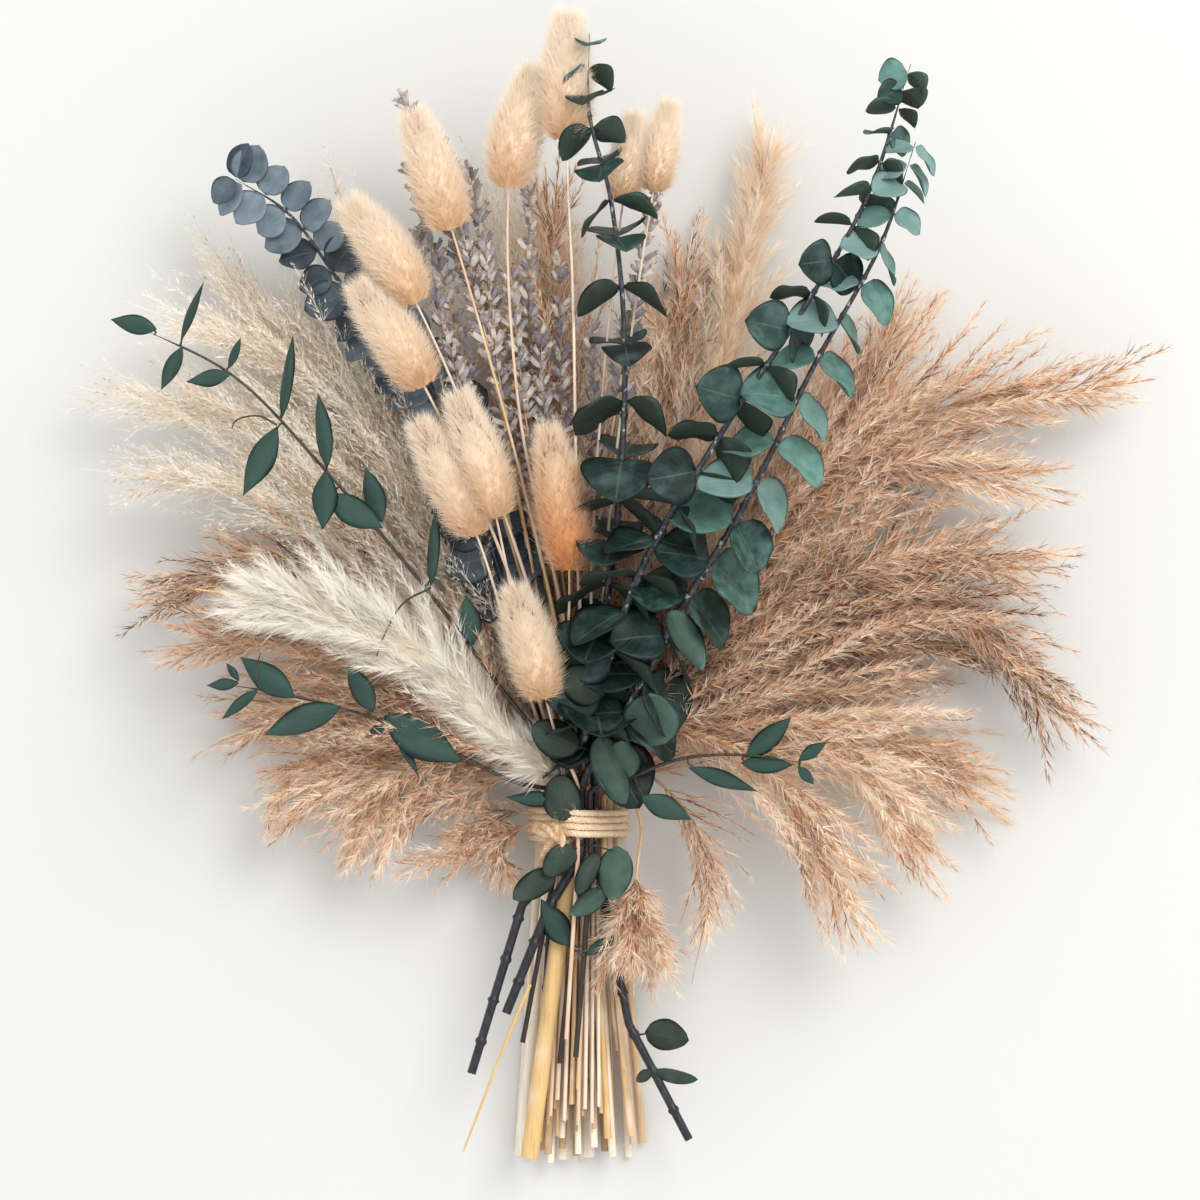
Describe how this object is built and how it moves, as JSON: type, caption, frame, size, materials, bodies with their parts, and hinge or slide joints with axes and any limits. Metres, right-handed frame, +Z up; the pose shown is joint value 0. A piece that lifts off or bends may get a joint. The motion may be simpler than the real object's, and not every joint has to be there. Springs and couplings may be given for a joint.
{
  "type": "dried flower bunch",
  "caption": "Hand-tied bundle of dried pampas grass, reed plumes, bunny tails, lavender and preserved eucalyptus, bound with twine and lying flat.",
  "frame": {"origin": "middle of the flat under the tie, where the bundle rests", "axes": "+Y from the tie to the flower heads, +X to the right seen from above, +Z up from the surface it lies on"},
  "size_m": [0.4829, 0.4961, 0.1281],
  "materials": {
    "reed_tan": "matte tan plume, fine cream-tipped hairs over brown spikelets, straw stem",
    "reed_beige": "matte beige plume of fine pale hairs, straw stem",
    "pampas_cream": "matte cream, silky fluffy hairs, pale stem",
    "bunny_tail": "matte peach, dense soft hairs with pale awns, thin straw stem",
    "lavender": "matte grey-violet ribbed buds with tan bracts on a grey-green stem",
    "eucalyptus_green": "satin dark green leaf with a pale waxy bloom, dark knotted stem",
    "eucalyptus_blue": "satin slate-blue leaf with a dusty bloom, brown stem",
    "eucalyptus_fine": "satin grey-green narrow leaf, dark thin stem",
    "twine": "matte jute, twisted strands with loose fibres"
  },
  "bodies": {
    "root": {"tan_reed_17": "reed_tan", "beige_reed_4": "reed_beige", "beige_reed_6": "reed_beige", "tan_reed_8": "reed_tan", "cream_pampas_2": "pampas_cream", "tan_reed_7": "reed_tan", "tan_reed_15": "reed_tan", "tan_reed_16": "reed_tan", "tan_reed_12": "reed_tan", "tan_reed_10": "reed_tan", "beige_reed_1": "reed_beige", "beige_reed_5": "reed_beige", "tan_reed_14": "reed_tan", "tan_reed_1": "reed_tan", "tan_reed_4": "reed_tan", "tan_reed_13": "reed_tan", "tan_reed_11": "reed_tan", "beige_reed_2": "reed_beige", "beige_reed_3": "reed_beige", "tan_reed_2": "reed_tan", "tan_reed_3": "reed_tan", "tan_reed_5": "reed_tan", "eucalyptus_blue": "eucalyptus_blue", "lavender_2": "lavender", "lavender_1": "lavender", "lavender_4": "lavender", "lavender_5": "lavender", "lavender_9": "lavender", "lavender_11": "lavender", "tan_reed_6": "reed_tan", "tan_spray_low": "reed_tan", "tan_reed_low": "reed_tan", "lavender_6": "lavender", "lavender_3": "lavender", "lavender_7": "lavender", "lavender_8": "lavender", "lavender_10": "lavender", "lavender_12": "lavender", "bunny_tail_7": "bunny_tail", "bunny_tail_6": "bunny_tail", "bunny_tail_5": "bunny_tail", "bunny_tail_4": "bunny_tail", "bunny_tail_3": "bunny_tail", "bunny_tail_2": "bunny_tail", "bunny_tail_1": "bunny_tail", "bunny_tail_11": "bunny_tail", "bunny_tail_10": "bunny_tail", "fine_eucalyptus_low": "eucalyptus_fine", "cream_pampas_1": "pampas_cream", "fine_eucalyptus_left": "eucalyptus_fine", "bunny_tail_8": "bunny_tail", "eucalyptus_tall": "eucalyptus_green", "eucalyptus_back": "eucalyptus_green", "eucalyptus_front": "eucalyptus_green", "fine_eucalyptus_right": "eucalyptus_fine", "bunny_tail_9": "bunny_tail", "twine": "twine"}
  },
  "joints": []
}
